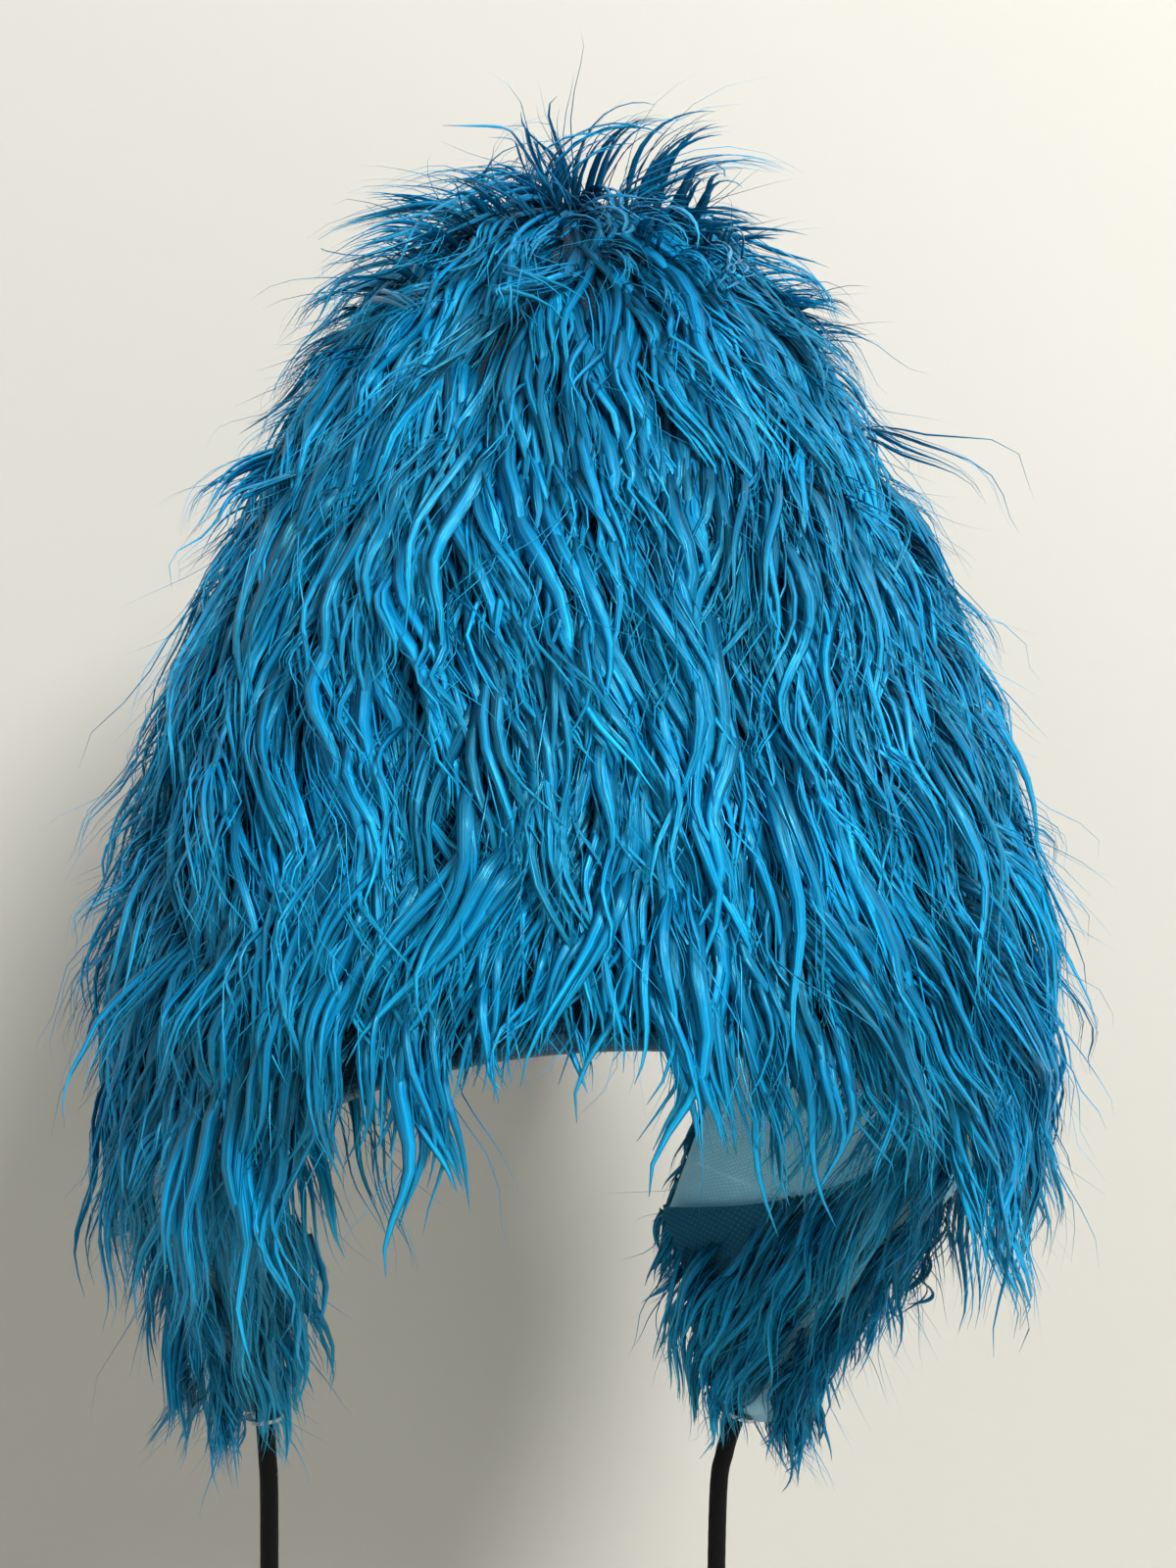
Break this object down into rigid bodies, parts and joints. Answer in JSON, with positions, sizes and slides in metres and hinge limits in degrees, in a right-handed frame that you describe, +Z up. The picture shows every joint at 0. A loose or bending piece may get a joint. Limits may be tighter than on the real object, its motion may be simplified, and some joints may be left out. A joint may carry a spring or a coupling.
{
  "type": "moving mouth hat puppet",
  "caption": "Shaggy fur hat puppet with padded ear flaps and a spring-closed jaw that cords through the flap tips pull open.",
  "frame": {"origin": "centre of the head opening, level with the back hem", "axes": "+Z up through the crown's point, -Y the way the wearer and the face look, +X towards the wearer's left"},
  "size_m": [0.2322, 0.2835, 0.5588],
  "materials": {
    "tricot": "fine knitted tricot with a soft sheen",
    "padding": "open foam",
    "fur": "long wavy acrylic pile with a glossy streak",
    "band": "woven tape",
    "board": "moulded board",
    "mouth_felt": "felt",
    "tongue_felt": "felt",
    "tooth_felt": "felt",
    "nose": "gloss",
    "eye": "clear gloss over amber",
    "washer": "matte",
    "steel": "satin",
    "eyelet": "satin",
    "cord": "braided polyester"
  },
  "bodies": {
    "crown": {"lining": "tricot", "foam_back_left": "padding", "foam_back_right": "padding", "foam_front_left": "padding", "foam_front_right": "padding", "fur_back_left": "fur", "fur_back_right": "fur", "fur_front_left": "fur", "fur_front_right": "fur", "sweatband": "band", "back_hem": "band", "front_hem": "band", "face_plate": "board", "palate_board": "board", "palate_lining": "mouth_felt", "muzzle_foam": "padding", "muzzle_fur": "fur", "tooth_left": "tooth_felt", "tooth_right": "tooth_felt", "nose": "nose", "nose_washer": "washer", "eye_left": "eye", "eye_right": "eye", "eye_washer_left": "washer", "eye_washer_right": "washer", "hinge_pin": "steel", "jaw_spring": "steel", "rim_eyelet_left": "eyelet", "rim_eyelet_right": "eyelet", "inner_cord_left": "cord", "inner_cord_right": "cord"},
    "jaw": {"jaw_board": "board", "jaw_lining": "mouth_felt", "tongue": "tongue_felt", "chin_foam": "padding", "chin_fur": "fur"},
    "flap_left": {"flap_fur_left": "fur", "flap_foam_left": "padding", "flap_lining_left": "tricot", "flap_facing_left": "fur", "tip_eyelet_left": "eyelet"},
    "flap_right": {"flap_fur_right": "fur", "flap_foam_right": "padding", "flap_lining_right": "tricot", "flap_facing_right": "fur", "tip_eyelet_right": "eyelet"},
    "pull_left": {"pull_cord_left": "cord", "pull_knot_left": "cord"},
    "pull_right": {"pull_cord_right": "cord", "pull_knot_right": "cord"}
  },
  "joints": [
    {"name": "jaw_hinge", "type": "hinge", "parent": "crown", "child": "jaw", "pos_m": [0, -0.112, 0.004], "axis": [1, 0, 0], "range_deg": [0, 35], "stiffness_Nm_per_rad": 0.25, "springref_deg": -14.32, "deforming": ["jaw_spring", "inner_cord_left", "inner_cord_right"]},
    {"name": "flap_left_fold", "type": "hinge", "parent": "crown", "child": "flap_left", "pos_m": [0.104, 0, -0.012], "axis": [0, -1, 0], "range_deg": [0, 100], "stiffness_Nm_per_rad": 0.1, "springref_deg": -14.32, "deforming": ["inner_cord_left"]},
    {"name": "flap_right_fold", "type": "hinge", "parent": "crown", "child": "flap_right", "pos_m": [-0.104, 0, -0.012], "axis": [0, 1, 0], "range_deg": [0, 100], "stiffness_Nm_per_rad": 0.1, "springref_deg": -14.32, "deforming": ["inner_cord_right"]},
    {"name": "pull_left_slide", "type": "slide", "parent": "flap_left", "child": "pull_left", "axis": [-0.0698, 0, -0.9976], "range_m": [0, 0.011], "stiffness_N_per_m": 0.05, "springref_m": -0.125},
    {"name": "pull_right_slide", "type": "slide", "parent": "flap_right", "child": "pull_right", "axis": [0.342, 0, -0.9397], "range_m": [0, 0.011], "stiffness_N_per_m": 0.05, "springref_m": -0.125}
  ],
  "couplings": [
    {"joint": "pull_left_slide", "follows": "jaw_hinge", "m_per_rad": 0.018},
    {"joint": "pull_right_slide", "follows": "jaw_hinge", "m_per_rad": 0.018}
  ]
}
